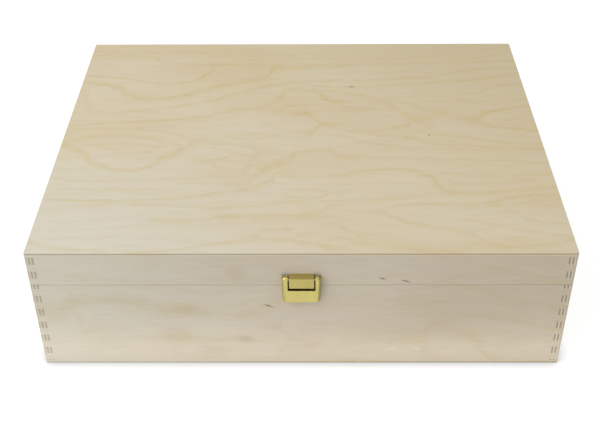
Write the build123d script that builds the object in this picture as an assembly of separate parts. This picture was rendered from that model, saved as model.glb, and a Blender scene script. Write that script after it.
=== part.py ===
from build123d import *
import math
import os

# A shallow birch plywood case.  Four finger-jointed walls carry a thin top and
# bottom panel, the closed carcass is sawn apart into body and lid, two small
# butt hinges join them at the back and a sprung catch holds them at the front.
# Frame: origin at the centre of the underside, +X along the front to the
# right, +Y to the back, +Z up.  All sizes are in millimetres.

# ---------------------------------------------------------------- the carcass
box_length = 400.0          # outside, left to right
box_depth = 320.0           # outside, front to back
body_height = 80.35         # underside of the bottom to the saw cut
lid_height = 30.55          # saw cut to the top of the lid
seam_gap = 0.1              # daylight that the hinges leave in the saw cut
saw_kerf = 3.2              # wood that the saw blade took out
wall_sheet = 6.5            # five-ply sheet of the walls
panel_sheet = 3.0           # three-ply sheet of the top and the bottom
finger_width = 6.6          # fingers and gaps of the corner joints
lowest_finger = 1.0         # what the bottom's edge leaves of the lowest finger
thinnest_finger = 0.4       # a remnant under this is sanded away
outer_arris = 0.6           # sanded radius on all outside edges

# ----------------------------------------------------------- the butt hinges
hinge_offset = 120.0        # box centre to hinge centre
hinge_length = 30.0         # along the pin
leaf_height = 12.5          # pin axis to the leaf's edge
leaf_sheet = 1.0
leaf_corner = 1.5
hinge_pin_radius = 1.0
knuckle_count = 5
knuckle_gap = 0.3           # side play between two knuckles
barrel_standoff = 0.25      # back wall to the barrel
leaf_screw_pitch = 18.0     # the two screws of a leaf
leaf_screw_height = 7.6     # pin axis to the screws
screw_head_radius = 2.1
screw_shank_radius = 1.1
cross_recess_width = 0.55
cross_recess_span = 2.4
cross_recess_depth = 0.7

# ------------------------------------------------------------------ the catch
catch_sheet = 0.7           # hasp and hood
plate_sheet = 0.8           # the two plates nailed to the walls
catch_offset = 0.5          # the catch sits this far right of the box's centre
hood_width = 18.9
hood_reach = 5.1            # front wall to the hood's face
hood_top = 10.85            # seam to the hood's upper edge
hood_knee = 9.35            # seam to the bend between slope and face
hood_rise = 0.85            # seam to the lower edge of the hood and its plate
plate_foot_height = 2.6     # the hood plate's two feet that take the nails
knee_radius = 0.8
hood_edge_radius = 0.5
hood_plate_width = 25.0     # over its two feet
plate_corner = 1.2
ear_gap = 4.25              # hood's side to the inside of the hasp's ear
hasp_draw = 0.6             # each side comes in by this from pin to foot
hasp_corner = 3.6           # its two lower corners
hasp_proud = 1.0            # the hasp's face in front of the hood's face
hasp_standoff = 0.3         # front wall to the hasp's back edges
hasp_drop = 13.05           # seam to the hasp's lower edge
hasp_edge_radius = 2.2
slot_gap = 0.8              # hood's sides to the edges of the hasp's slot
slot_floor = 1.5            # hood's lower edge to the slot's lower edge
slot_corner = 0.4
catch_pin_radius = 0.9
catch_pin_height = 8.05     # seam to the pin
catch_pin_proud = 0.2       # riveted ends outside the hasp
strike_width = 23.0
strike_top = 2.0            # seam to the strike plate's upper edge
strike_bottom = 11.85       # seam to its folded lower edge
strike_lip_width = 14.0
strike_lip_reach = 3.4      # front wall to the fold's edge
lip_play = 0.15             # fold's edge to the hasp's lower flange
strike_nail_pitch = 19.0
strike_nail_depth = 6.0     # seam to the strike plate's nails
hood_nail_pitch = 22.4
nail_head_radius = 1.0
nail_head_height = 0.4
nail_shank_radius = 0.7
spring_wire = 0.5
spring_bead = 0.27          # radius of the rounded ends of its legs
spring_turns = 4
spring_pitch = 0.62

# ----------------------------------------------------------------- clearances
running_fit = 0.05          # pin in a turning hole, radial
press_fit = 0.01            # pin in a holding hole, radial
seat_play = 0.02            # screw or nail in its hole, radial
side_clearance = 0.35       # parts that pass each other
point_cover = 1.7           # wood left in front of a screw's or nail's point
point_length = 1.4          # tapered end of a screw or nail

# -------------------------------------------------------------- worked out
box_height = body_height + seam_gap + lid_height
lid_drop = saw_kerf - seam_gap
uncut_height = box_height + lid_drop
frame_bottom = panel_sheet
frame_top = uncut_height - panel_sheet
half_length = box_length / 2
half_depth = box_depth / 2
seam_height = body_height + seam_gap / 2
fastener_depth = wall_sheet - point_cover

barrel_radius = hinge_pin_radius + running_fit + leaf_sheet
hinge_axis_y = half_depth + barrel_standoff + barrel_radius
knuckle_length = (hinge_length - (knuckle_count - 1) * knuckle_gap) / knuckle_count

hasp_reach = hood_reach + hasp_proud
hasp_top_radius = (hasp_reach - hasp_standoff) / 2
catch_pin_out = hasp_standoff + hasp_top_radius
slot_half_width = hood_width / 2 + slot_gap
slot_depth = slot_floor - hood_rise
ear_inner_face = hood_width / 2 + ear_gap
hasp_width = 2 * (ear_inner_face + catch_sheet)
hasp_taper = hasp_draw / (catch_pin_height + hasp_drop)
hood_inner_half = hood_width / 2 - catch_sheet
foot_top = hood_rise + plate_foot_height
flange_edge = plate_sheet + nail_head_height + side_clearance

BEYOND = box_length         # longer than any cut has to reach


# ------------------------------------------------------------- small helpers
def block(x, y, z):
    """A box from three (low, high) pairs."""
    size = [high - low for low, high in (x, y, z)]
    middle = [(low + high) / 2 for low, high in (x, y, z)]
    return Pos(*middle) * Box(*size)


def one_solid(shape):
    """The single solid of a finished piece."""
    return shape.solids()[0]


def save(node, shape):
    """Write one piece, or one group of like pieces, as its own node."""
    solids = shape if isinstance(shape, list) else [shape]
    solids = [one_solid(solid) for solid in solids]
    whole = solids[0] if len(solids) == 1 else Compound(children=solids)
    whole.label = node
    export_step(whole, f"parts/{node}.step")


def pocket(radius, x, z, face_y, inward):
    """A blind round hole in a wall, from its outside face."""
    depth = fastener_depth + seat_play
    hole = Cylinder(radius, depth)
    return Pos(x, face_y + inward * depth / 2, z) * Rot(90, 0, 0) * hole


# ---------------------------------------------------------------- the carcass
def finger_spans():
    """Heights in the uncut carcass that the side walls' fingers fill."""
    spans = []
    high = frame_bottom + lowest_finger
    while high - finger_width < frame_top:
        span = (max(high - finger_width, frame_bottom), min(high, frame_top))
        if span[1] - span[0] > thinnest_finger:
            spans.append(span)
        high += 2 * finger_width
    return spans


def sanded_carcass():
    """The closed carcass's outside, with all its edges eased."""
    whole = block((-half_length, half_length), (-half_depth, half_depth), (0, uncut_height))
    return fillet(whole.edges(), outer_arris)


def corner_fingers(side_x, end_y):
    """The side wall's fingers at one corner of the carcass."""
    x = sorted((side_x * half_length, side_x * (half_length - wall_sheet)))
    y = sorted((end_y * half_depth, end_y * (half_depth - wall_sheet)))
    return [block(x, y, span) for span in finger_spans()]


def long_wall(end_y):
    """Front or back wall: full length, notched for the side walls' fingers."""
    y = sorted((end_y * half_depth, end_y * (half_depth - wall_sheet)))
    wall = block((-half_length, half_length), y, (frame_bottom, frame_top))
    return wall - corner_fingers(-1, end_y) - corner_fingers(1, end_y)


def side_wall(side_x):
    """Left or right wall: between the long walls, with its fingers through them."""
    x = sorted((side_x * half_length, side_x * (half_length - wall_sheet)))
    inner = half_depth - wall_sheet
    wall = block(x, (-inner, inner), (frame_bottom, frame_top))
    return wall + corner_fingers(side_x, -1) + corner_fingers(side_x, 1)


def level_panel(bottom):
    """Top or bottom panel, glued over the whole frame."""
    return block((-half_length, half_length), (-half_depth, half_depth), (bottom, bottom + panel_sheet))


def body_part(shape):
    """What the saw leaves below the cut."""
    below = block((-BEYOND, BEYOND), (-BEYOND, BEYOND), (-BEYOND, body_height))
    return shape & below


def lid_part(shape):
    """What the saw leaves above the cut, set down on the body."""
    above = block((-BEYOND, BEYOND), (-BEYOND, BEYOND), (body_height + saw_kerf, BEYOND))
    return Pos(0, 0, -lid_drop) * (shape & above)


# ---------------------------------------------------------------- the hinges
def knuckle_spans(first, centre_x):
    """X spans of every second knuckle, counted from the left end."""
    start = centre_x - hinge_length / 2
    step = knuckle_length + knuckle_gap
    return [(start + k * step, start + k * step + knuckle_length) for k in range(first, knuckle_count, 2)]


def along_x(radius, span, y, z):
    """A round bar along X."""
    bar = Cylinder(radius, span[1] - span[0])
    return Pos((span[0] + span[1]) / 2, y, z) * Rot(0, 90, 0) * bar


def leaf_screw_places(centre_x, up):
    """The two screws of one leaf, as (x, z)."""
    z = seam_height + up * leaf_screw_height
    return [(centre_x + side * leaf_screw_pitch / 2, z) for side in (-1, 1)]


def head_cone(play):
    """A countersunk head's cone, its wide end up at the origin."""
    wide = screw_head_radius + play
    narrow = screw_shank_radius + play
    return Pos(0, 0, -leaf_sheet / 2) * Cone(narrow, wide, leaf_sheet)


def hinge_leaf(centre_x, up, first_knuckle, bore_play):
    """A leaf flat on the back wall, curled round the pin at its own knuckles.

    up is 1 for the lid's leaf and -1 for the body's.
    """
    x = (centre_x - hinge_length / 2, centre_x + hinge_length / 2)
    y = (half_depth, half_depth + leaf_sheet)
    edge = seam_height + up * leaf_height
    cut_back = seam_height + up * (barrel_radius + side_clearance)
    leaf = block(x, y, sorted((cut_back, edge)))
    leaf = fillet(leaf.edges().filter_by(Axis.Y).group_by(Axis.Z)[0 if up < 0 else -1], leaf_corner)
    for span in knuckle_spans(first_knuckle, centre_x):
        leaf += block(span, y, sorted((seam_height, cut_back)))
        leaf += along_x(barrel_radius, span, hinge_axis_y, seam_height)
    leaf -= along_x(hinge_pin_radius + bore_play, x, hinge_axis_y, seam_height)
    for screw_x, screw_z in leaf_screw_places(centre_x, up):
        leaf -= Pos(screw_x, y[1], screw_z) * Rot(-90, 0, 0) * head_cone(seat_play)
    return leaf


def hinge_pin(centre_x):
    """The pin, held in the body's knuckles."""
    span = (centre_x - hinge_length / 2, centre_x + hinge_length / 2)
    pin = along_x(hinge_pin_radius, span, hinge_axis_y, seam_height)
    return chamfer(pin.edges().filter_by(GeomType.CIRCLE), hinge_pin_radius / 4)


def wood_screw():
    """A countersunk screw with a cross recess, head up at the origin."""
    shank = fastener_depth - point_length
    screw = head_cone(0)
    screw += Pos(0, 0, -leaf_sheet - shank / 2) * Cylinder(screw_shank_radius, shank)
    tip = Cone(screw_shank_radius / 4, screw_shank_radius, point_length)
    screw += Pos(0, 0, -leaf_sheet - shank - point_length / 2) * tip
    for turn in (0, 90):
        arm = Box(cross_recess_span, cross_recess_width, 2 * cross_recess_depth)
        screw -= Rot(0, 0, turn) * arm
    return screw


def leaf_screws(centre_x, up):
    """Both screws of a leaf, driven in from behind."""
    y = half_depth + leaf_sheet
    return [Pos(x, y, z) * Rot(-90, 0, 0) * wood_screw() for x, z in leaf_screw_places(centre_x, up)]


# ------------------------------------------------------------------ the catch
def front_point(out, up):
    """A point of a catch profile: out from the front wall, up from the seam."""
    return (-half_depth - out, seam_height + up)


def catch_block(x, out, up):
    """A box in the catch's own terms."""
    y = (-half_depth - out[1], -half_depth - out[0])
    z = (seam_height + up[0], seam_height + up[1])
    return block(x, y, z)


def catch_bar(radius, x):
    """A round bar on the catch pin's axis."""
    return along_x(radius, x, -half_depth - catch_pin_out, seam_height + catch_pin_height)


def rounded_plate(width, up):
    """A flat plate on the front wall, with rounded corners."""
    plate = catch_block((-width / 2, width / 2), (0, plate_sheet), up)
    return fillet(plate.edges().filter_by(Axis.Y), plate_corner)


def hood_profile():
    """Side view of the hood, run on past the wall and far below its lower edge."""
    back = -2 * hood_reach
    slope = (hood_top - hood_knee) / hood_reach
    outline = Polyline(
        front_point(back, hood_top - back * slope),
        front_point(hood_reach, hood_knee),
        front_point(hood_reach, -2 * hood_top),
        front_point(back, -2 * hood_top),
        close=True,
    )
    face = make_face(Plane.YZ * outline)
    knee = face.vertices().sort_by(Axis.Y)[:2].sort_by(Axis.Z)[-1]
    return fillet(knee, knee_radius)


def hood_plate():
    """The lid's half of the catch: a nailed plate with a pressed hood."""
    profile = hood_profile()
    half = hood_width / 2
    outer = extrude(profile, half, both=True)
    rims = outer.edges().filter_by(lambda edge: abs(abs(edge.center().X) - half) < 1e-6)
    low_y = -half_depth - hood_reach
    front_rims = rims.filter_by(lambda edge: edge.bounding_box().min.Y < low_y + knee_radius)
    front_rims = front_rims.filter_by(lambda edge: edge.bounding_box().max.Z > seam_height - hood_top)
    outer = fillet(front_rims, hood_edge_radius)
    inner = extrude(offset(profile, -catch_sheet), hood_inner_half, both=True)
    hood = (outer - inner) & catch_block((-half, half), (0, hood_reach), (hood_rise, hood_top))
    plate = outer & catch_block((-half, half), (0, plate_sheet), (hood_rise, hood_top))
    plate += rounded_plate(hood_plate_width, (hood_rise, foot_top))
    plate += hood
    plate -= catch_bar(catch_pin_radius + running_fit, (-half, half))
    return plate - nail_holes(hood_nail_places())


def round_corner(radius, first, last):
    """A quarter of a turn about the catch pin, from first to last, in degrees."""
    points = []
    for angle in (first, (first + last) / 2, last):
        out = catch_pin_out + radius * math.cos(math.radians(angle))
        up = catch_pin_height + radius * math.sin(math.radians(angle))
        points.append(front_point(out, up))
    return ThreePointArc(*points)


def hasp_front(inset):
    """Front view of the hasp: sides drawn in towards the foot, and round lower corners."""
    low = inset - hasp_drop
    high = catch_pin_height + hasp_reach
    low_half = hasp_width / 2 - inset - hasp_taper * (catch_pin_height - low)
    high_half = low_half + hasp_taper * (high - low)
    corners = ((-high_half, high), (-low_half, low), (low_half, low), (high_half, high))
    outline = Polyline([(x, seam_height + up) for x, up in corners], close=True)
    face = make_face(Plane.XZ * outline)
    return fillet(face.vertices().group_by(Axis.Z)[0], hasp_corner - inset)


def pressed_block(inset):
    """The hasp's outer form, or its hollow, before its back is trimmed."""
    radius = hasp_top_radius - inset
    top = round_corner(radius, 0, 90)
    low = inset - hasp_drop
    behind = -hasp_reach
    high_back = front_point(behind, catch_pin_height + radius)
    low_back = front_point(behind, low)
    low_front = front_point(catch_pin_out + radius, low)
    outline = top + Polyline(top @ 1, high_back, low_back, low_front, top @ 0)
    solid = extrude(make_face(Plane.YZ * outline), hasp_width, both=True)
    solid &= extrude(hasp_front(inset), BEYOND, both=True)
    rounded = [edge for edge in solid.edges() if is_rounded(edge, high_back, low_front)]
    return fillet(rounded, hasp_edge_radius - inset)


def ear_outline():
    """Side view of the hasp's ears, which turn clear of the wall behind them."""
    front = round_corner(hasp_top_radius, 0, 90)
    back = round_corner(hasp_top_radius, 90, 180)
    low_back = front_point(hasp_standoff, -hasp_drop)
    low_front = front_point(hasp_reach, -hasp_drop)
    return front + back + Polyline(back @ 1, low_back, low_front, front @ 0)


def is_rounded(edge, high_back, low_front):
    """True for an edge round the hasp's face and ears, not at its back or in a smooth run."""
    middle = edge.center()
    span = edge.bounding_box().size
    if middle.Y > high_back[0] - 1e-6:
        return False
    if max(span.Y, span.Z) < 1e-6:
        return middle.Z < low_front[1] + 1e-6
    if max(span.X, span.Z) < 1e-6:
        return middle.Z > high_back[1] - 1e-6
    return True


def hasp():
    """The sprung cover: a pressed cap with a slot that clears the hood."""
    shell = pressed_block(0) - pressed_block(catch_sheet)
    shell &= extrude(make_face(Plane.YZ * ear_outline()), hasp_width, both=True)
    slot_x = (-slot_half_width, slot_half_width)
    slot = catch_block(slot_x, (-hasp_reach, 2 * hasp_reach), (-slot_depth, 2 * hood_top))
    shell -= fillet(slot.edges().filter_by(Axis.Y).group_by(Axis.Z)[0], slot_corner)
    inside = (-ear_inner_face, ear_inner_face)
    shell -= catch_block(inside, (0, hasp_standoff + hasp_top_radius / 2), (catch_pin_height, hood_top))
    floor = (-hasp_drop, -hasp_drop + 2 * catch_sheet)
    beside_plate = strike_width / 2 + side_clearance
    shell -= catch_block((-beside_plate, beside_plate), (0, flange_edge), floor)
    notch = strike_lip_width / 2 + side_clearance
    shell -= catch_block((-notch, notch), (0, strike_lip_reach + lip_play), floor)
    return shell - catch_bar(catch_pin_radius + press_fit, (-hasp_width, hasp_width))


def catch_pin():
    """The hasp's pin, riveted in its two ears and turning in the hood."""
    reach = hasp_width / 2 + catch_pin_proud
    pin = catch_bar(catch_pin_radius, (-reach, reach))
    return fillet(pin.edges().filter_by(GeomType.CIRCLE), catch_pin_proud)


def strike_plate():
    """The body's half of the catch, its lower edge folded outwards."""
    plate = rounded_plate(strike_width, (-strike_bottom, -strike_top))
    lip_half = strike_lip_width / 2
    fold = (-strike_bottom, -strike_bottom + plate_sheet)
    plate += catch_block((-lip_half, lip_half), (0, strike_lip_reach), fold)
    return plate - nail_holes(strike_nail_places())


def hood_nail_places():
    """The hood plate's nails, as (x, z)."""
    z = seam_height + foot_top - plate_foot_height / 2
    return [(side * hood_nail_pitch / 2, z) for side in (-1, 1)]


def strike_nail_places():
    """The strike plate's nails, as (x, z)."""
    z = seam_height - strike_nail_depth
    return [(side * strike_nail_pitch / 2, z) for side in (-1, 1)]


def nail_holes(places):
    """Round holes through a plate for its nails."""
    hole = Rot(90, 0, 0) * Cylinder(nail_shank_radius + seat_play, 4 * plate_sheet)
    return [Pos(x, -half_depth, z) * hole for x, z in places]


def nail():
    """A small round-headed nail, its head's underside at the origin."""
    shank = fastener_depth + plate_sheet - point_length
    head = Pos(0, 0, nail_head_height / 2) * Cylinder(nail_head_radius, nail_head_height)
    head = fillet(head.edges().filter_by(GeomType.CIRCLE).sort_by(Axis.Z)[-1], nail_head_height / 2)
    whole = head + Pos(0, 0, -shank / 2) * Cylinder(nail_shank_radius, shank)
    tip = Cone(nail_shank_radius / 4, nail_shank_radius, point_length)
    return whole + Pos(0, 0, -shank - point_length / 2) * tip


def nails(places):
    """A plate's nails, driven in from the front."""
    y = -half_depth - plate_sheet
    return [Pos(x, y, z) * Rot(90, 0, 0) * nail() for x, z in places]


def wire(start, end):
    """A straight stretch of the spring's wire with round ends."""
    line = Line(start, end)
    bar = sweep(Plane(line @ 0, z_dir=line % 0) * Circle(spring_wire / 2), path=line)
    return bar + Pos(*start) * Sphere(spring_bead) + Pos(*end) * Sphere(spring_bead)


def catch_spring():
    """A torsion spring on the pin, inside the right ear of the hasp.

    One leg bears on the hood plate's foot and the other on the ear's front.
    """
    radius = catch_pin_radius + running_fit + spring_wire
    length = spring_turns * spring_pitch
    start_x = (hood_width + ear_gap - length) / 2
    y = -half_depth - catch_pin_out
    z = seam_height + catch_pin_height
    helix = Helix(spring_pitch, length, radius)
    section = Plane(helix @ 0, z_dir=helix % 0) * Circle(spring_wire / 2)
    coil = Pos(start_x, y, z) * Rot(0, 90, 0) * Rot(0, 0, 90) * sweep(section, path=helix)
    back = (start_x, y + radius, z)
    front = (start_x + length, y + radius, z)
    foot = (start_x, -half_depth - plate_sheet - 0.6 * spring_wire, seam_height + foot_top - spring_wire)
    rise = (start_x + length, y + radius, z + spring_wire)
    return coil + wire(back, foot) + wire(front, rise)


def at_catch(shape):
    """A piece of the catch, or a group of them, moved from the middle to the catch's place."""
    if isinstance(shape, list):
        return [at_catch(one) for one in shape]
    return Pos(catch_offset, 0, 0) * shape


# ------------------------------------------------------------------ all nodes
def build():
    """Make every piece and write it."""
    os.makedirs("parts", exist_ok=True)
    outside = sanded_carcass()
    walls = {
        "front": long_wall(-1) & outside,
        "back": long_wall(1) & outside,
        "left": side_wall(-1) & outside,
        "right": side_wall(1) & outside,
    }
    body = {name: body_part(wall) for name, wall in walls.items()}
    lid = {name: lid_part(wall) for name, wall in walls.items()}

    screw_hole = screw_shank_radius + seat_play
    nail_hole = nail_shank_radius + seat_play
    for side in (-1, 1):
        for x, z in leaf_screw_places(side * hinge_offset, -1):
            body["back"] -= pocket(screw_hole, x, z, half_depth, -1)
        for x, z in leaf_screw_places(side * hinge_offset, 1):
            lid["back"] -= pocket(screw_hole, x, z, half_depth, -1)
    for x, z in strike_nail_places():
        body["front"] -= pocket(nail_hole, catch_offset + x, z, -half_depth, 1)
    for x, z in hood_nail_places():
        lid["front"] -= pocket(nail_hole, catch_offset + x, z, -half_depth, 1)

    for name, wall in body.items():
        save(f"body_{name}_panel", wall)
    for name, wall in lid.items():
        save(f"lid_{name}_panel", wall)
    save("bottom_panel", level_panel(0) & outside)
    save("lid_top_panel", lid_part(level_panel(frame_top) & outside))

    for name, side in (("left", -1), ("right", 1)):
        centre_x = side * hinge_offset
        save(f"{name}_hinge_body_leaf", hinge_leaf(centre_x, -1, 0, press_fit))
        save(f"{name}_hinge_lid_leaf", hinge_leaf(centre_x, 1, 1, running_fit))
        save(f"{name}_hinge_pin", hinge_pin(centre_x))
        save(f"{name}_hinge_body_screws", leaf_screws(centre_x, -1))
        save(f"{name}_hinge_lid_screws", leaf_screws(centre_x, 1))

    save("catch_hood_plate", at_catch(hood_plate()))
    save("catch_hood_nails", at_catch(nails(hood_nail_places())))
    save("catch_hasp", at_catch(hasp()))
    save("catch_pin", at_catch(catch_pin()))
    save("catch_spring", at_catch(catch_spring()))
    save("catch_strike_plate", at_catch(strike_plate()))
    save("catch_strike_nails", at_catch(nails(strike_nail_places())))


build()
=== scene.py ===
import math
from typing import NamedTuple

import bpy
from mathutils import Euler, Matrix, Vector


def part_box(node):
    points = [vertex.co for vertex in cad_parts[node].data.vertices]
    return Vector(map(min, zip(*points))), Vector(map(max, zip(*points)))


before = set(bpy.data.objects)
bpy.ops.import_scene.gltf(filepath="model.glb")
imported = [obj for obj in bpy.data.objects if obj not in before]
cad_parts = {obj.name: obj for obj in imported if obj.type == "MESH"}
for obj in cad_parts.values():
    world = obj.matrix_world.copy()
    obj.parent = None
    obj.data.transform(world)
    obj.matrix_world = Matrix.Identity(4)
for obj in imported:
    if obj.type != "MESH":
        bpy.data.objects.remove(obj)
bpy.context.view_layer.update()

# A shallow birch plywood case with finger-jointed corners, a lid on two small
# butt hinges and a sprung catch.  Blender works in metres; plies, grain and
# the marks on the metal are given in millimetres.
MM = 0.001


# ---------------------------------------------------------------- sizes from the frame
def corners_mm(node):
    """A piece's lowest and highest corner, in millimetres."""
    low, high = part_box(node)
    return low / MM, high / MM


TOP_LOW, TOP_HIGH = corners_mm("lid_top_panel")
FRONT_LOW, FRONT_HIGH = corners_mm("body_front_panel")
LID_FRONT_LOW, _ = corners_mm("lid_front_panel")

HALF_LENGTH = TOP_HIGH.x
HALF_DEPTH = TOP_HIGH.y
HEIGHT = TOP_HIGH.z
WALL = FRONT_HIGH.y - FRONT_LOW.y
SHEET = TOP_HIGH.z - TOP_LOW.z
BODY_RIM = FRONT_HIGH.z
LID_RIM = LID_FRONT_LOW.z
SAW_LOSS = 3.1                # the lid sank this far when the sawn carcass was closed


# ---------------------------------------------------------------- nodes and colours
MATH = "ShaderNodeMath"
VECTOR = "ShaderNodeVectorMath"
JOIN = "ShaderNodeCombineXYZ"
NOISE = "ShaderNodeTexNoise"
REMAP = "ShaderNodeMapRange"
BLEND = "ShaderNodeMix"
SMOOTH = "SMOOTHSTEP"
WHITE = (1, 1, 1, 1)
NOISE_BAND = (0.3, 0.7)       # where most of a noise lies


def linear(hex_colour):
    """A linear RGBA colour from an sRGB hex string."""
    values = [int(hex_colour[i:i + 2], 16) / 255 for i in (1, 3, 5)]
    return [v / 12.92 if v <= 0.04045 else ((v + 0.055) / 1.055) ** 2.4 for v in values] + [1.0]


def add(tree, kind, feeds=(), **settings):
    """Adds a node with its settings.

    feeds fills its live inputs, in order or by name.  A node feeds its first live output.
    """
    made = tree.nodes.new(kind)
    for name, value in settings.items():
        setattr(made, name, value)
    live = [socket for socket in made.inputs if socket.enabled]
    named = {socket.name: socket for socket in live}
    pairs = feeds.items() if isinstance(feeds, dict) else enumerate(feeds)
    for key, value in pairs:
        socket = named[key] if isinstance(key, str) else live[key]
        if isinstance(value, bpy.types.Node):
            value = next(output for output in value.outputs if output.enabled)
        if isinstance(value, bpy.types.NodeSocket):
            tree.links.new(value, socket)
        elif value is not None:
            socket.default_value = value
    return made


def ramp(tree, value, band, levels=(0.0, 1.0), kind="LINEAR"):
    """A value read across a band: one level up to its start, the other from its end on."""
    return add(tree, REMAP, {
        "Value": value, "From Min": band[0], "From Max": band[1],
        "To Min": levels[0], "To Max": levels[1]}, interpolation_type=kind)


def new_material(name):
    """An empty material and its node tree."""
    material = bpy.data.materials.new(name)
    material.use_nodes = True
    material.node_tree.nodes.clear()
    return material, material.node_tree


# ---------------------------------------------------------------- the camera
FOCAL_PX = 1022.0             # in pixels of a picture 600 pixels wide
PICTURE_WIDTH = 600
SENSOR_MM = 36.0
NEAR_CLIP = 0.01
CAMERA_AT = Vector((4.8, -729.6, 575.3)) * MM
CAMERA_PITCH = math.radians(36.93)
CAMERA_YAW = math.radians(-0.516)
CAMERA_ROLL = math.radians(-0.379)


def add_camera():
    """The camera in front of the box, looking down at it."""
    data = bpy.data.cameras.new("camera")
    data.sensor_fit = "HORIZONTAL"
    data.sensor_width = SENSOR_MM
    data.lens = FOCAL_PX / PICTURE_WIDTH * SENSOR_MM
    data.clip_start = NEAR_CLIP
    camera = bpy.data.objects.new("camera", data)
    camera.location = CAMERA_AT
    turn = Euler((math.pi / 2 - CAMERA_PITCH, 0, -CAMERA_YAW)).to_matrix()
    roll = Euler((0, 0, CAMERA_ROLL)).to_matrix()
    camera.rotation_euler = (turn @ roll).to_euler()
    bpy.context.scene.collection.objects.link(camera)
    bpy.context.scene.camera = camera


# ---------------------------------------------------------------- floor and light
DOME_LEVEL = 0.62             # soft light from all round
CEILING_LEVEL = 0.46          # how bright the ceiling shows in a gloss, beside a horizon of 1
CEILING_BAND = (0.25, 0.9)    # how steeply up a gloss looks where the ceiling starts, and is reached
KEY_WATTS = 11.6
KEY_SIZE = 1.5
KEY_AT = Vector((-0.80, -0.62, 1.12))
STRIP_WATTS = 0.037
STRIP_LENGTH = 0.75
STRIP_HEIGHT = 0.02
STRIP_AT = Vector((0.0, -0.192, 0.012))
STRIP_TARGET = Vector((0, -HALF_DEPTH, 5)) * MM
FLOOR_SIZE = 12
FLOOR_WHITE = "#E7E7E7"
FLOOR_SEEN = 0.5              # how much of the floor's own light reaches the eye
FLOOR_LIFT = 0.765            # what the floor adds for the eye, so that it is white
GLOSS_LIFT = 0.20             # and in a gloss or through glass
CONTACT_REACH = 12 * MM       # how far the shadow at the box's foot runs out
CONTACT_DEPTH = 0.67
CONTACT_SAMPLES = 16


def seen_level(tree, eye, gloss, other):
    """One level for rays from the eye, one for rays off a gloss or through glass, one for all others."""
    path = add(tree, "ShaderNodeLightPath")
    shiny = [path.outputs["Is Glossy Ray"], path.outputs["Is Transmission Ray"]]
    shiny = add(tree, MATH, shiny, operation="MAXIMUM")
    level = add(tree, BLEND, [shiny, other, gloss], data_type="FLOAT")
    return add(tree, BLEND, [path.outputs["Is Camera Ray"], level, eye], data_type="FLOAT")


def add_world():
    """A white room with a greyer ceiling, which lights the box evenly."""
    world = bpy.data.worlds.new("white_room")
    world.use_nodes = True
    tree = world.node_tree
    tree.nodes.clear()
    way = add(tree, "ShaderNodeSeparateXYZ", [add(tree, "ShaderNodeTexCoord")])
    gloss = ramp(tree, way.outputs["Z"], CEILING_BAND, (1.0, CEILING_LEVEL))
    level = seen_level(tree, 1.0, gloss, DOME_LEVEL)
    light = add(tree, "ShaderNodeBackground", {"Color": WHITE, "Strength": level})
    add(tree, "ShaderNodeOutputWorld", [light])
    bpy.context.scene.world = world


def add_lamp(name, watts, width, height, place, target, gloss):
    """A soft light that shines at a point and isn't seen itself."""
    data = bpy.data.lights.new(name, "AREA")
    data.shape = "RECTANGLE"
    data.size = width
    data.size_y = height
    data.energy = watts
    lamp = bpy.data.objects.new(name, data)
    lamp.location = place
    lamp.rotation_euler = (target - place).to_track_quat("-Z", "Y").to_euler()
    lamp.visible_camera = False
    lamp.visible_glossy = gloss
    bpy.context.scene.collection.objects.link(lamp)


def floor_material():
    """Matt white paper: it holds the shadow at the box's foot and is white elsewhere."""
    material, tree = new_material("white_paper")
    contact = add(tree, "ShaderNodeAmbientOcclusion", {"Distance": CONTACT_REACH}, samples=CONTACT_SAMPLES)
    contact = add(tree, MATH, [contact.outputs["AO"], CONTACT_DEPTH], operation="POWER")
    shade = add(tree, MATH, [contact, seen_level(tree, FLOOR_SEEN, 1.0, 1.0)], operation="MULTIPLY")
    white = add(tree, VECTOR, {"Vector": linear(FLOOR_WHITE)[:3], "Scale": shade}, operation="SCALE")
    paper = add(tree, "ShaderNodeBsdfDiffuse", {"Color": white})
    lift = add(tree, MATH, [contact, seen_level(tree, FLOOR_LIFT, GLOSS_LIFT, 0.0)], operation="MULTIPLY")
    glow = add(tree, "ShaderNodeEmission", {"Color": WHITE, "Strength": lift})
    both = add(tree, "ShaderNodeAddShader", [paper, glow])
    add(tree, "ShaderNodeOutputMaterial", [both])
    return material


def add_floor():
    """The floor that the box stands on."""
    bpy.ops.mesh.primitive_plane_add(size=FLOOR_SIZE)
    floor = bpy.context.object
    floor.name = "floor"
    floor.data.materials.append(floor_material())


# ---------------------------------------------------------------- birch plywood
# Rotary-cut birch, glued crosswise and sanded, left bare: a pale satin sheet
# with wavy tan ring lines that close into ovals, fine fibres along the grain
# and a few dark pin knots and pale scratches.  Its edges show the plies, dark
# where the fibres end and pale where they run along the edge.
PLY = 1.3                     # five plies in the walls
THIN_PLY = 1.0                # three in the top and the bottom
TOP_VENEER = ("#DBCFB4", "#D8C6A3")       # paler and tanner parts of the sheet
WALL_VENEER = ("#CEC3AF", "#C4B6A0")
TOP_PAINTED_SHEEN = "#D8D2C1"          # painted sheen: the whitest birch, in one corner of the sheet
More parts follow.
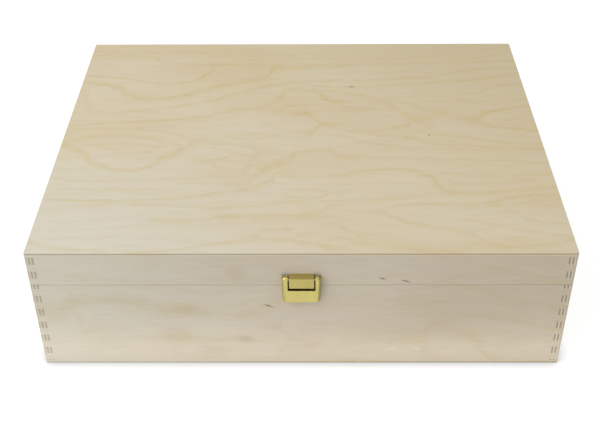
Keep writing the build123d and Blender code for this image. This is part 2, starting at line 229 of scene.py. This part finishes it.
# painted sheen: paler birch towards one end of each wall
WALL_PAINTED_SHEEN = "#D1CBBB"
TOP_PAINTED_SHADE = "#D2C29F"          # painted shade: the tannest birch, in another corner
TOP_RING = "#CBB36A"
WALL_RING = "#BCA668"
END_GRAIN = "#9F937D"
GLUE_LINE = "#A08C6B"
SEAM_PAINTED_SHADE = "#A38F70"         # painted shade along the seam between lid and body
FOOT_PAINTED_SHADE = "#665B4B"              # painted shade at the box's foot, where it stands on the floor
PIN_KNOT = "#6F5A2C"
PALE_SCRATCH = "#DAD3C4"      # where the sanded skin is scored
WALL_TAN = "#C6BAA2"          # late wood that runs just under the surface
WALL_SMUDGE = "#BDB09A"       # the same, rubbed darker
WALL_BLUSH = "#C8B6A3"        # a faint red in the birch
WOOD_IOR = 1.5
WOOD_ROUGH = (0.50, 0.66)     # between the fibres and on their crests
FIBRE_RELIEF = 0.05           # millimetres
BUMP_STRENGTH = 0.25

# Each pattern's spans along the grain, across it and into the sheet, in
# millimetres, and what sets its noise apart from the others.
TONE_SPANS = (160.0, 60.0, 8.0)
TONE_SEED = 7.0
STRAY_SPANS = (16.0, 9.0, 5.0)
FADE_SPANS = (16.0, 9.0, 5.0)
FADE_SEED = 31.0
FADE_LOW = 0.25               # what the faintest stretch of a ring line keeps of its strength
FIBRE_SPANS = (14.0, 0.45, 0.8)
FIBRE_SEED = 3.0
FIBRE_BAND = (0.25, 0.75)     # where most of the fibres' noise lies
RING_WAVES = (                # spans, how many rings each wave moves the figure by, and its detail
    ((150.0, 55.0, 5.0), 4.2, 2.0),
    ((34.0, 13.0, 5.0), 0.9, 2.0),
    ((9.0, 3.5, 5.0), 0.12, 2.0),
)
LATE_FROM = 0.35              # share of a year's growth after which the wood darkens,
LATE_FULL = 0.85              # and where it is darkest, before the next spring
LINE_STRAY = (16.0, 5.0, 0.0)  # how far a ring line wanders from its course, along and across
LINE_SHADE = 0.62             # how much of the ring's colour a full line takes
TAPER = 4.0                   # a ring line dies out over this many times its width
LINE_THIN = 1.0               # of its width, where a line runs with the grain
LINE_BROAD = 2.0              # and where it runs across it
END_LEAN = 1.3                # keeps a line that ends steeply from spreading past its end
FACE_SKIN = 0.12              # plies; keeps the outside faces clear of the glue colour

# Bands beside the edges of a sheet, in millimetres where nothing else is said.
END_BAND = (0.45, 0.15)       # inside an end, where the plies start to show and show fully
SIDE_BAND = (0.05, 0.3)       # off a long edge, where they show fully and no longer
SKIN_BAND = (0.7, 1.2)        # plies; the outer ply's edge is sanded paler
SKIN_SHADE = 0.45
GLUE_BAND = (0.03, 0.1)       # plies off a glue line
# painted shade off the last side: where it lies, and how strong it is
ARRIS_BAND = (0.1, 0.7)
ARRIS_SHADE = 0.35
FOOT_BAND = (0.6, 1.2)        # depth at which the painted shade of the foot dies out
FOOT_SHADE_ALONG = (0.5, 1.3)          # strength of the foot's painted shade at the left and at the right


class Line(NamedTuple):
    """A late-wood line of the face veneer: half its width in millimetres, its strength, its course."""
    width: float
    strength: float
    course: tuple             # (along, across) in millimetres, from left to right


class Knot(NamedTuple):
    """A pin knot or a scratch, in millimetres: a short stroke that may lie aslant to the grain."""
    along: float
    across: float
    length: float
    width: float
    slope: float
    colour: str = PIN_KNOT


class Patch(NamedTuple):
    """A part of the face with another colour, the veneer's own or painted sheen and shade, dying out over
    its reach in millimetres.
    """
    along: float
    across: float
    reach: tuple
    colour: str


class Veneered(NamedTuple):
    """How a panel lies in its sheet of plywood, in millimetres."""
    along: str                # axis of the face veneer's grain
    across: str               # axis across that grain, and the one through the sheet
    depth: str
    face: float               # where the outside face is on the depth axis
    inward: float             # 1 or -1: the way from that face into the sheet
    veneer: tuple             # colours between which the face varies
    ring: str                 # colour of the late wood
    patches: tuple            # parts of the face in the veneer's own colours, and painted sheen and shade
    ply: float
    plies: int
    ends: float               # half of its length along the grain
    sides: tuple              # places across the grain where an edge shows
    lift: float               # back to its place in the uncut sheet
    seed: float
    fibre: float              # how much its fibres differ in shade, up and down
    ring_gap: float           # millimetres from one ring to the next where they lie straight
    rings: float              # strength of the rings between the drawn lines
    lines: tuple
    knots: tuple
    core: float               # how dark the end grain shows
    foot_shade: float               # how much painted shade the outer arris takes at the foot


def swell(tree, along, across, centre, reach):
    """A smooth bump that is 1 at its centre and dies out over its reach."""
    part = []
    for place, middle, span in zip((along, across), centre, reach):
        offset = add(tree, MATH, [place, middle], operation="SUBTRACT")
        offset = add(tree, MATH, [offset, span], operation="DIVIDE")
        part.append(add(tree, MATH, [offset, offset], operation="MULTIPLY"))
    total = add(tree, MATH, part, operation="ADD")
    total = add(tree, MATH, [total, -1.0], operation="MULTIPLY")
    return add(tree, MATH, [total], operation="EXPONENT")


def sheet_place(tree, panel):
    """Millimetres along the grain, across it, and in from the outside face."""
    place = add(tree, "ShaderNodeTexCoord").outputs["Object"]
    place = add(tree, VECTOR, {"Vector": place, "Scale": 1 / MM}, operation="SCALE")
    axes = add(tree, "ShaderNodeSeparateXYZ", [place])
    across = add(tree, MATH, [axes.outputs[panel.across], panel.lift], operation="ADD")
    depth = add(tree, MATH, [axes.outputs[panel.depth], panel.face], operation="SUBTRACT")
    depth = add(tree, MATH, [depth, panel.inward], operation="MULTIPLY")
    return axes.outputs[panel.along], across, depth


def stretched(tree, along, across, depth, spans, seed):
    """The place divided by a pattern's own spans, so that its features are that many millimetres."""
    pairs = zip((along, across, depth), spans)
    parts = [add(tree, MATH, pair, operation="DIVIDE") for pair in pairs]
    place = add(tree, JOIN, parts)
    return add(tree, VECTOR, [place, (seed, seed * 0.7, seed * 1.3)], operation="ADD")


def ring_lines(tree, panel, along, across, depth):
    """0 between the log's yearly rings, rising softly to 1 on the late wood of each."""
    height = add(tree, MATH, [across, panel.ring_gap], operation="DIVIDE")
    for spans, rings, detail in RING_WAVES:
        place = stretched(tree, along, across, depth, spans, panel.seed)
        wave = add(tree, NOISE, {"Vector": place, "Scale": 1.0, "Detail": detail})
        height = add(tree, MATH, [wave, rings, height], operation="MULTIPLY_ADD")
    turn = add(tree, MATH, [height], operation="FRACT")
    rise = ramp(tree, turn, (LATE_FROM, LATE_FULL), kind=SMOOTH)
    fall = ramp(tree, turn, (LATE_FULL, 1.0), (1.0, 0.0), SMOOTH)
    line = add(tree, MATH, [rise, fall], operation="MULTIPLY")
    return add(tree, MATH, [line, panel.rings], operation="MULTIPLY")


def curve(tree, along, places):
    """A smooth curve through places, read at a place along the grain."""
    made = add(tree, "ShaderNodeFloatCurve", {"Value": along})
    made.mapping.use_clip = False
    made.mapping.extend = "HORIZONTAL"
    points = made.mapping.curves[0].points
    while len(points) < len(places):
        points.new(0.0, 0.0)
    for point, place in zip(points, places):
        point.location = place
    made.mapping.update()
    return made


def line_heights(line):
    """Half the line's height at each point: it is thin with the grain and broad where it crosses it."""
    last = len(line.course) - 1
    heights = []
    for i, (x, _) in enumerate(line.course):
        before, after = line.course[max(i - 1, 0)], line.course[min(i + 1, last)]
        slope = (after[1] - before[1]) / (after[0] - before[0])
        lean = math.hypot(1.0, slope)
        breadth = LINE_THIN + (LINE_BROAD - LINE_THIN) * abs(slope) / lean
        if i in (0, last):
            lean = min(lean, END_LEAN)
        heights.append((x, TAPER * line.width * breadth * lean))
    return heights


def drawn_lines(tree, panel, along, across, depth, total):
    """The panel's own late-wood lines laid over the rings, each fading out at its ends."""
    here = add(tree, JOIN, [along, across])
    stray = stretched(tree, along, across, depth, STRAY_SPANS, panel.seed)
    stray = add(tree, NOISE, {"Vector": stray, "Scale": 1.0, "Detail": 3.0})
    stray = add(tree, VECTOR, [stray.outputs["Color"], (0.5, 0.5, 0.5)], operation="SUBTRACT")
    here = add(tree, VECTOR, [stray, LINE_STRAY, here], operation="MULTIPLY_ADD")
    here = add(tree, VECTOR, [here, (1.0, TAPER, 0.0)], operation="MULTIPLY")
    along = add(tree, "ShaderNodeSeparateXYZ", [here]).outputs["X"]
    for line in panel.lines:
        reach = add(tree, "ShaderNodeClamp", [along, line.course[0][0], line.course[-1][0]])
        nearest = add(tree, JOIN, [reach, curve(tree, reach, [(x, TAPER * y) for x, y in line.course])])
        gap = add(tree, VECTOR, [here, nearest], operation="DISTANCE")
        height = curve(tree, reach, line_heights(line))
        shown = ramp(tree, gap, (0.0, height), (line.strength, 0.0), SMOOTH)
        total = add(tree, MATH, [total, shown], operation="MAXIMUM")
    return total


def ply_edges(tree, panel, along, depth, across_raw):
    """Shares of end grain and glue line on the sheet's edges, and of painted shade along its last side:
    the seam on the walls, the back edge on the top and the bottom.
    """
    reach = add(tree, MATH, [along], operation="ABSOLUTE")
    end = ramp(tree, reach, [panel.ends - inside for inside in END_BAND])
    side = 0.0
    for place in panel.sides:
        gap = add(tree, MATH, [across_raw, place], operation="SUBTRACT")
        gap = add(tree, MATH, [gap], operation="ABSOLUTE")
        near = ramp(tree, gap, SIDE_BAND, (1.0, 0.0))
        side = add(tree, MATH, [side, near], operation="MAXIMUM")
    layer = add(tree, MATH, [depth, panel.ply], operation="DIVIDE")
    layer = add(tree, MATH, [layer, FACE_SKIN], operation="MAXIMUM")
    layer = add(tree, MATH, [layer, panel.plies - FACE_SKIN], operation="MINIMUM")
    crossed = add(tree, MATH, [layer], operation="FLOOR")
    crossed = add(tree, MATH, [crossed, 2.0], operation="MODULO")
    ended = add(tree, BLEND, [crossed, end, side], data_type="FLOAT")
    outer = ramp(tree, layer, SKIN_BAND, (SKIN_SHADE, 1.0))
    ended = add(tree, MATH, [ended, outer], operation="MULTIPLY")
    glue = add(tree, MATH, [layer, 1.0], operation="PINGPONG")
    glue = ramp(tree, glue, GLUE_BAND, (1.0, 0.0))
    shown = add(tree, MATH, [end, side], operation="MAXIMUM")
    arris = ramp(tree, gap, ARRIS_BAND, (ARRIS_SHADE, 0.0))
    return ended, add(tree, MATH, [glue, shown], operation="MULTIPLY"), arris


def birch_plywood(name, panel):
    """Bare sanded birch plywood for one panel."""
    material, tree = new_material(name)
    along, across, depth = sheet_place(tree, panel)
    across_raw = add(tree, MATH, [across, panel.lift], operation="SUBTRACT")

    broad = stretched(tree, along, across, depth, TONE_SPANS, panel.seed + TONE_SEED)
    broad = add(tree, NOISE, {"Vector": broad, "Scale": 1.0, "Detail": 3.0})
    broad = ramp(tree, broad, NOISE_BAND)
    colour = add(tree, BLEND, [broad, *map(linear, panel.veneer)], data_type="RGBA")
    # tan parts of the veneer, and painted sheen and shade
    for patch in panel.patches:
        share = swell(tree, along, across, (patch.along, patch.across), patch.reach)
        colour = add(tree, BLEND, [share, colour, linear(patch.colour)], data_type="RGBA")

    lines = ring_lines(tree, panel, along, across, depth)
    lines = drawn_lines(tree, panel, along, across, depth, lines)
    fade = stretched(tree, along, across, depth, FADE_SPANS, panel.seed + FADE_SEED)
    fade = add(tree, NOISE, {"Vector": fade, "Scale": 1.0, "Detail": 4.0})
    fade = ramp(tree, fade, NOISE_BAND, (FADE_LOW * LINE_SHADE, LINE_SHADE))
    lines = add(tree, MATH, [lines, fade], operation="MULTIPLY")
    colour = add(tree, BLEND, [lines, colour, linear(panel.ring)], data_type="RGBA")

    for knot in panel.knots:
        level = add(tree, MATH, [along, -knot.slope, across], operation="MULTIPLY_ADD")
        middle = (knot.along, knot.across - knot.slope * knot.along)
        spot = swell(tree, along, level, middle, (knot.length, knot.width))
        colour = add(tree, BLEND, [spot, colour, linear(knot.colour)], data_type="RGBA")

    fibre = stretched(tree, along, across, depth, FIBRE_SPANS, panel.seed + FIBRE_SEED)
    fibre = add(tree, NOISE, {"Vector": fibre, "Scale": 1.0, "Detail": 3.0, "Roughness": 0.6})
    ended, glue, seam_shade = ply_edges(tree, panel, along, depth, across_raw)
    ended = add(tree, MATH, [ended, panel.core], operation="MULTIPLY")
    colour = add(tree, BLEND, [ended, colour, linear(END_GRAIN)], data_type="RGBA")
    colour = add(tree, BLEND, [glue, colour, linear(GLUE_LINE)], data_type="RGBA")
    # painted shade along the seam
    colour = add(tree, BLEND, [seam_shade, colour, linear(SEAM_PAINTED_SHADE)], data_type="RGBA")
    # painted shade along the foot, stronger towards the right
    foot = ramp(tree, depth, FOOT_BAND, (panel.foot_shade, 0.0))
    shade_along_foot = ramp(tree, along, (-HALF_LENGTH, HALF_LENGTH), FOOT_SHADE_ALONG)
    foot = add(tree, MATH, [foot, shade_along_foot], operation="MULTIPLY")
    colour = add(tree, BLEND, [foot, colour, linear(FOOT_PAINTED_SHADE)], data_type="RGBA")

    shade = ramp(tree, fibre, FIBRE_BAND, (1.0 - panel.fibre, 1.0 + panel.fibre))
    colour = add(tree, VECTOR, {"Vector": colour, "Scale": shade}, operation="SCALE")

    rough = ramp(tree, fibre, (0.0, 1.0), WOOD_ROUGH)
    bump = add(tree, "ShaderNodeBump", {
        "Strength": BUMP_STRENGTH, "Distance": FIBRE_RELIEF * MM, "Height": fibre})
    wood = add(tree, "ShaderNodeBsdfPrincipled", {
        "Base Color": colour, "Roughness": rough, "Normal": bump, "IOR": WOOD_IOR})
    add(tree, "ShaderNodeOutputMaterial", [wood])
    return material


# ---------------------------------------------------------------- the figure of the top and the front
# Late-wood lines, pin knots, tan patches and scratches, each drawn one by one.
TOP_LINES = (
    Line(3, 0.55, ((-200, 152), (-122, 153), (-110, 146), (-88, 155), (-65, 149),
        (-20, 152), (62, 148), (100, 157))),
    Line(3, 0.55, ((-200, 145), (-110, 142), (-70, 143), (60, 142), (100, 145), (145, 156))),
    Line(3, 0.55, ((-200, 137), (-120, 140), (0, 137), (100, 138), (130, 144), (162, 156))),
    Line(3.6, 0.65, ((-180, 132), (-142, 133), (-132, 123), (-110, 120), (-70, 118), (0, 116))),
    Line(3, 0.55, ((-105, 133), (-60, 134), (60, 132), (100, 133), (140, 139), (180, 151))),
    Line(3, 0.55, ((-90, 126), (-15, 129), (80, 128), (145, 134), (175, 144), (195, 154))),
    Line(3, 0.55, ((-85, 121), (50, 121), (145, 127), (180, 137), (200, 147))),
    Line(3.6, 0.82, ((-200, 99), (-160, 92), (-128, 84), (-95, 90), (-86, 101),
        (-78, 117), (-30, 117), (80, 119), (200, 125))),
    Line(5.4, 0.8, ((-200, 87), (-168, 78), (-153, 64), (-132, 56), (-105, 62), (-83, 75),
        (-55, 86), (-32, 96), (-25, 111), (-10, 112), (40, 115))),
    Line(3.6, 0.5, ((-200, 77), (-190, 55), (-181, 35), (-150, 34), (-120, 41))),
    Line(4.2, 0.75, ((-140, 36), (-105, 45), (-75, 55), (-50, 69),
        (-25, 81), (-5, 86), (45, 88), (120, 97), (152, 107), (200, 111))),
    Line(4.2, 0.75, ((-200, 12), (-155, 17), (-105, 22), (-76, 28), (-62, 37), (-28, 43), (-20, 59),
        (-8, 72), (3, 78), (45, 76), (90, 81), (145, 88), (200, 100))),
    Line(3, 0.6, ((85, 69), (105, 64), (145, 64), (175, 76), (200, 84))),
    Line(3, 0.55, ((105, 50), (145, 53), (170, 50), (200, 56))),
    Line(3, 0.75, ((16, 67), (28, 72), (40, 75))),
    Line(3.6, 0.95, ((16, 69), (20, 60), (28, 51))),
    Line(3, 0.6, ((-15, 36), (-12, 43), (0, 45), (25, 47), (40, 42), (62, 40))),
    Line(3, 0.6, ((25, 41), (45, 35), (62, 39))),
    Line(3.6, 0.7, ((45, 64), (62, 57), (78, 45), (93, 22))),
    Line(4.8, 0.75, ((55, 1), (72, 4), (84, 8), (93, 22))),
    Line(3.6, 0.65, ((50, 4), (62, -3), (90, -7), (108, -17), (145, -21), (200, -25))),
    Line(3, 0.65, ((80, 55), (100, 43), (115, 31))),
    Line(3.6, 0.65, ((99, 1), (105, 7), (112, 19), (115, 31))),
    Line(3, 0.6, ((100, -1), (140, -8), (165, -15), (200, -18))),
    Line(3.6, 0.9, ((3, 33), (12, 21), (16, 14))),
    Line(3.6, 0.9, ((10, 1), (16, 14))),
    Line(3, 0.6, ((14, -1), (35, -5), (58, -16), (80, -22), (145, -26), (200, -27))),
    Line(4.8, 0.75, ((-40, -73), (-30, -54), (-10, -40), (0, -28), (22, -27), (30, -36), (50, -37))),
    Line(3.2, 0.55, ((30, -36), (70, -38), (145, -41), (200, -47))),
    Line(4, 1.0, ((150, 21), (156, 29), (175, 37), (200, 42))),
    Line(4, 1.0, ((150, 21), (156, 13), (170, 8), (200, 3))),
    Line(3, 0.55, ((180, 21), (200, 32))),
    Line(3, 0.55, ((180, 21), (200, 19))),
    Line(4.2, 0.75, ((-200, -17), (-180, -30), (-162, -48), (-135, -55),
        (-118, -42), (-100, -27), (-89, -11))),
    Line(3.6, 0.65, ((-192, -11), (-162, -4), (-125, -9), (-105, -18), (-92, -19))),
    Line(3, 0.6, ((-175, -19), (-150, -27), (-138, -30), (-120, -21))),
    Line(3, 0.55, ((-175, -19), (-155, -16), (-120, -21))),
    Line(3, 0.65, ((-200, 6), (-135, 6), (-92, -9), (-75, -16), (-45, -20), (-37, -27))),
    Line(2.6, 0.6, ((-53, -7), (-45, -2), (-27, -1))),
    Line(2.6, 0.6, ((-53, -7), (-40, -10), (-26, -4))),
    Line(3, 0.65, ((-74, -41), (-59, -36), (-53, -31), (-47, -34))),
    Line(3, 0.6, ((-70, -43), (-66, -56))),
    Line(3, 0.6, ((-46, -63), (-42, -47), (-35, -31))),
    Line(3.4, 0.5, ((-200, -63), (-180, -70), (-115, -68), (-25, -63), (20, -65), (50, -60))),
    Line(4.2, 0.75, ((30, -63), (75, -55), (98, -60), (107, -76), (120, -87), (162, -84), (200, -77))),
    Line(3, 0.55, ((100, -59), (145, -63), (200, -61))),
    Line(3, 0.55, ((118, -69), (125, -74), (150, -73), (178, -69))),
    Line(3, 0.55, ((-200, -81), (-140, -81), (-100, -82))),
    Line(3.6, 0.7, ((-200, -95), (-100, -94), (-70, -88), (-45, -83), (-27, -71), (-18, -56))),
    Line(3.6, 0.65, ((-175, -104), (-140, -101), (-60, -105), (-15, -99), (-5, -97))),
    Line(3, 0.6, ((-8, -81), (15, -83), (26, -87))),
    Line(3, 0.6, ((-8, -91), (5, -93), (26, -87))),
    Line(3, 0.65, ((-10, -100), (30, -97), (75, -92), (83, -89))),
    Line(5.4, 0.7, ((-105, -121), (-75, -122), (-64, -118), (-10, -117), (18, -116))),
    Line(3, 0.6, ((18, -113), (25, -103), (62, -97), (80, -94))),
    Line(3.6, 0.7, ((62, -111), (83, -102), (140, -101), (165, -93), (200, -89))),
    Line(3.6, 0.65, ((62, -111), (82, -125), (122, -137), (147, -153), (175, -152), (200, -141))),
    Line(3, 0.6, ((130, -106), (145, -104), (200, -94))),
    Line(3, 0.6, ((128, -121), (150, -129), (200, -143))),
    Line(3, 0.55, ((162, -111), (180, -124), (195, -126))),
    Line(3, 0.65, ((22, -125), (36, -133), (39, -139))),
    Line(3.6, 0.7, ((-200, -145), (-172, -155), (-100, -158), (-70, -151),
        (-28, -145), (0, -147), (22, -156))),
    Line(3, 0.6, ((-32, -141), (-18, -132), (-4, -141))),
    Line(3.6, 0.65, ((32, -143), (50, -150), (105, -159))),
)

FRONT_LINES = (
    Line(8, 0.65, ((-178, 55), (-172, 61), (-162, 66), (-150, 67),
        (-138, 66), (-125, 63), (-112, 60), (-105, 56))),
    Line(4, 0.35, ((-172, 60), (-169, 48), (-164, 34))),
    Line(7, 0.5, ((-92, 52), (-80, 53), (-70, 52), (-55, 50), (-45, 50), (-38, 51), (-30, 56), (-20, 64))),
    Line(6, 0.45, ((-145, 25), (-100, 27), (-80, 26), (-60, 25), (-34, 26))),
    Line(2.5, 0.3, ((-178, 87), (-140, 88), (-100, 87), (-58, 90))),
    Line(3, 0.35, ((-16, 38), (-13, 31), (-4, 24))),
    Line(3, 0.35, ((-22, 4), (-18, 10), (-12, 18))),
    Line(4, 0.3, ((28, 59), (40, 61), (55, 60), (75, 61))),
    Line(3, 0.35, ((73, 60), (80, 67), (92, 70))),
    Line(3.5, 0.5, ((91, 24), (95, 32), (99, 42))),
    Line(3.5, 0.4, ((95, 51), (99, 41))),
    Line(3, 0.5, ((91, 24), (94, 15), (98, 5))),
    Line(3, 0.6, ((128, 30), (138, 20), (145, 4))),
    Line(5, 0.5, ((104, 114), (112, 109), (122, 106), (138, 100),
        (160, 95), (175, 90), (187, 86), (200, 84))),
    Line(5, 0.5, ((116, 82), (128, 77), (140, 74), (150, 67), (165, 63), (180, 60), (200, 57))),
    Line(3.5, 0.35, ((100, 63), (112, 64), (130, 63), (165, 59))),
    Line(4, 0.45, ((98, 49), (110, 51), (130, 50), (150, 48), (165, 43), (180, 39), (200, 35))),
    Line(3.5, 0.3, ((158, 26), (180, 27), (200, 25))),
    Line(1.4, 0.8, ((157, 87), (167, 85))),
    Line(1.4, 0.8, ((182, 75), (194, 74))),
)
TOP_KNOTS = (
    Knot(45, 77, 2.6, 0.7, 0),
    Knot(107, -4, 0.9, 0.6, 0),
)

FRONT_PATCHES = (
    Patch(-48, 95, (8, 8), WALL_TAN),
    Patch(115, 90, (14, 7), WALL_TAN),
    Patch(-95, 28, (14, 9), WALL_TAN),
    Patch(-43, 26, (6.5, 3.4), WALL_SMUDGE),
    Patch(-67, 13, (10, 6), WALL_TAN),
    Patch(-85, 56, (9, 5), WALL_TAN),
    Patch(86, 64, (12, 6), WALL_TAN),
    Patch(8, 20, (8, 3), WALL_BLUSH),
)

FRONT_KNOTS = (
    Knot(-24.4, 59.9, 2.7, 0.65, -0.35),
    Knot(59.8, 89.7, 1.9, 0.65, -0.25),
    Knot(77.2, 87.2, 2.6, 0.6, -0.3),
    Knot(71, 16, 3.6, 0.5, 0.7, PALE_SCRATCH),
    Knot(88, 16.5, 3.6, 0.5, -0.7, PALE_SCRATCH),
)


# ---------------------------------------------------------------- how the panels lie in their sheets
TOP_SEED = 5.2                # a seed picks a panel's own stretch of veneer
BASE_SEED = 71.4
WALL_SEEDS = {"front": 11.3, "back": 23.9, "left": 37.1, "right": 53.7}
WALL_FIBRE = 0.08
LEVEL_FIBRE = 0.05
WALL_RING_GAP = 24.0
LEVEL_RING_GAP = 15.0
LEFT_END_GRAIN_PAINTED_LIGHT = 0.72              # painted light: the left wall's end grain is painted paler, as if lit from the left
# painted sheen towards one end of each wall
WALL_SHEEN_PATCHES = (Patch(-HALF_LENGTH, 90.0, (150.0, 120.0), WALL_PAINTED_SHEEN),)
# painted sheen in the near left corner and painted shade in the far right corner of the top and the bottom
LEVEL_SHEEN_AND_SHADE_PATCHES = (
    Patch(-HALF_LENGTH, -HALF_DEPTH, (190.0, 120.0), TOP_PAINTED_SHEEN),
    Patch(HALF_LENGTH, HALF_DEPTH, (150.0, 150.0), TOP_PAINTED_SHADE),
)


def wall_sheet(side, name, lid):
    """How one of the four walls lies in its sheet.  The front has its own figure."""
    front = name == "front"
    long_wall = name in ("front", "back")
    half = HALF_DEPTH if long_wall else HALF_LENGTH
    return Veneered(
        along="X" if long_wall else "Y",
        across="Z",
        depth="Y" if long_wall else "X",
        face=side * half,
        inward=-side,
        veneer=WALL_VENEER,
        ring=WALL_RING,
        patches=WALL_SHEEN_PATCHES + FRONT_PATCHES if front else WALL_SHEEN_PATCHES,
        ply=PLY,
        plies=round(WALL / PLY),
        ends=HALF_LENGTH if long_wall else HALF_DEPTH,
        sides=(LID_RIM,) if lid else (BODY_RIM,),
        lift=SAW_LOSS if lid else 0.0,
        seed=WALL_SEEDS[name],
        fibre=WALL_FIBRE,
        ring_gap=WALL_RING_GAP,
        rings=0.2 if front else 0.5,
        lines=FRONT_LINES if front else (),
        knots=FRONT_KNOTS if front else (),
        core=LEFT_END_GRAIN_PAINTED_LIGHT if name == "left" else 1.0,
        foot_shade=0.0,
    )


def level_sheet(face, inward, seed, rings, lines, knots, core, foot_shade):
    """How the top or the bottom lies in its sheet."""
    return Veneered(
        along="X",
        across="Y",
        depth="Z",
        face=face,
        inward=inward,
        veneer=TOP_VENEER,
        ring=TOP_RING,
        patches=LEVEL_SHEEN_AND_SHADE_PATCHES,
        ply=THIN_PLY,
        plies=round(SHEET / THIN_PLY),
        ends=HALF_LENGTH,
        sides=(-HALF_DEPTH, HALF_DEPTH),
        lift=0.0,
        seed=seed,
        fibre=LEVEL_FIBRE,
        ring_gap=LEVEL_RING_GAP,
        rings=rings,
        lines=lines,
        knots=knots,
        core=core,
        foot_shade=foot_shade,
    )


# ---------------------------------------------------------------- metals
BRASS_PLATE = "#D3C67C"
HOOD_PLATE = "#C4B671"        # the hood's plating is darker than the hasp's
HINGE_PLATE = "#BFAC68"
SPRING_WIRE = "#9A9A9C"       # bare drawn steel, grey beside the plating
CATCH_ROUGH = 0.24            # the roughness of each between its rub marks
HOOD_ROUGH = 0.18
HINGE_ROUGH = 0.24
WIRE_ROUGH = 0.28
ROUGH_SPREAD = 0.10           # what the rub marks add
PRESS_WAVE = 6.0              # millimetres, from one soft wave to the next
RUB_LENGTH = 5.0              # and the length and width of a rub mark
RUB_WIDTH = 0.15
PRESS_TONE = (0.94, 1.04)     # how the waves shade the plating
RUB_RELIEF = 0.02             # a rub mark's depth beside a wave's
PRESS_RELIEF = 0.1            # a wave's depth in millimetres
LEFT_PAINTED_SHADE = 0.85              # painted shade: the plating is painted darker where the metal faces a side,
RIGHT_PAINTED_SHADE = 0.54             # darkest where it faces right
SIDE_SHADE_TURN = 0.4               # how far to a side the metal faces where it has that side's painted shade
SIDE_SHADE_BAND = (0.02, 0.3)     # and where the painted shade begins to show, and shows in full


def plated_steel(name, hex_colour, roughness):
    """Pressed steel, bright plated: even colour, soft waves from the press, fine rub marks, and painted
    shade where it faces a side.
    """
    material, tree = new_material(name)
    place = add(tree, "ShaderNodeTexCoord").outputs["Object"]
    place = add(tree, VECTOR, {"Vector": place, "Scale": 1 / MM}, operation="SCALE")
    waves = add(tree, NOISE, {"Vector": place, "Scale": 1 / PRESS_WAVE, "Detail": 2.0})
    rubbed = (1 / RUB_LENGTH, 1 / RUB_WIDTH, 1 / RUB_WIDTH)
    rubbed = add(tree, VECTOR, [place, rubbed], operation="MULTIPLY")
    rubbed = add(tree, NOISE, {"Vector": rubbed, "Scale": 1.0, "Detail": 3.0})
    tone = ramp(tree, waves, NOISE_BAND, PRESS_TONE)
    # painted shade on the sides: darker where the metal faces left, darker still where it faces right
    facing = add(tree, "ShaderNodeSeparateXYZ", [add(tree, "ShaderNodeTexCoord").outputs["Normal"]])
    sideways = add(tree, MATH, [facing.outputs["X"]], operation="ABSOLUTE")
    sideways = ramp(tree, sideways, SIDE_SHADE_BAND, kind=SMOOTH)
    side_shade = ramp(tree, facing.outputs["X"], (-SIDE_SHADE_TURN, SIDE_SHADE_TURN), (LEFT_PAINTED_SHADE, RIGHT_PAINTED_SHADE))
    side_shade = add(tree, BLEND, [sideways, 1.0, side_shade], data_type="FLOAT")
    tone = add(tree, MATH, [tone, side_shade], operation="MULTIPLY")
    colour = add(tree, VECTOR, {"Vector": linear(hex_colour)[:3], "Scale": tone}, operation="SCALE")
    rough = ramp(tree, rubbed, NOISE_BAND, (roughness, roughness + ROUGH_SPREAD))
    height = add(tree, MATH, [rubbed, RUB_RELIEF, waves], operation="MULTIPLY_ADD")
    bump = add(tree, "ShaderNodeBump", {
        "Strength": BUMP_STRENGTH, "Distance": PRESS_RELIEF * MM, "Height": height})
    metal = add(tree, "ShaderNodeBsdfPrincipled", {
        "Base Color": colour, "Metallic": 1.0, "Roughness": rough, "Normal": bump})
    add(tree, "ShaderNodeOutputMaterial", [metal])
    return material


# ---------------------------------------------------------------- dressing the pieces
def dress(node, material):
    """Gives a piece from the frame its material."""
    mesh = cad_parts[node].data
    mesh.materials.clear()
    mesh.materials.append(material)


def dress_wood():
    """Every panel from its own place in a sheet."""
    for name, side in (("front", -1), ("back", 1), ("left", -1), ("right", 1)):
        dress(f"body_{name}_panel", birch_plywood(f"birch_{name}_body", wall_sheet(side, name, False)))
        dress(f"lid_{name}_panel", birch_plywood(f"birch_{name}_lid", wall_sheet(side, name, True)))
    top = level_sheet(
        HEIGHT, -1.0, seed=TOP_SEED, rings=0.28, lines=TOP_LINES, knots=TOP_KNOTS, core=0.8, foot_shade=0.0)
    base = level_sheet(0.0, 1.0, seed=BASE_SEED, rings=0.6, lines=(), knots=(), core=0.3, foot_shade=0.7)
    dress("lid_top_panel", birch_plywood("birch_top", top))
    dress("bottom_panel", birch_plywood("birch_bottom", base))


def dress_metal():
    """The catch, the hinges and their fixings."""
    catch = plated_steel("plated_catch", BRASS_PLATE, CATCH_ROUGH)
    hood = plated_steel("plated_hood", HOOD_PLATE, HOOD_ROUGH)
    hinge = plated_steel("plated_hinge", HINGE_PLATE, HINGE_ROUGH)
    wire = plated_steel("spring_wire", SPRING_WIRE, WIRE_ROUGH)
    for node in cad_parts:
        if "hinge" in node:
            dress(node, hinge)
        elif node == "catch_spring":
            dress(node, wire)
        elif node == "catch_hood_plate":
            dress(node, hood)
        elif node.startswith("catch"):
            dress(node, catch)


add_camera()
add_world()
add_lamp("soft_box", KEY_WATTS, KEY_SIZE, KEY_SIZE, KEY_AT, Vector((0, 0, 0)), True)
add_lamp("low_strip", STRIP_WATTS, STRIP_LENGTH, STRIP_HEIGHT, STRIP_AT, STRIP_TARGET, False)
add_floor()
dress_wood()
dress_metal()
bpy.context.scene.view_settings.view_transform = "Standard"
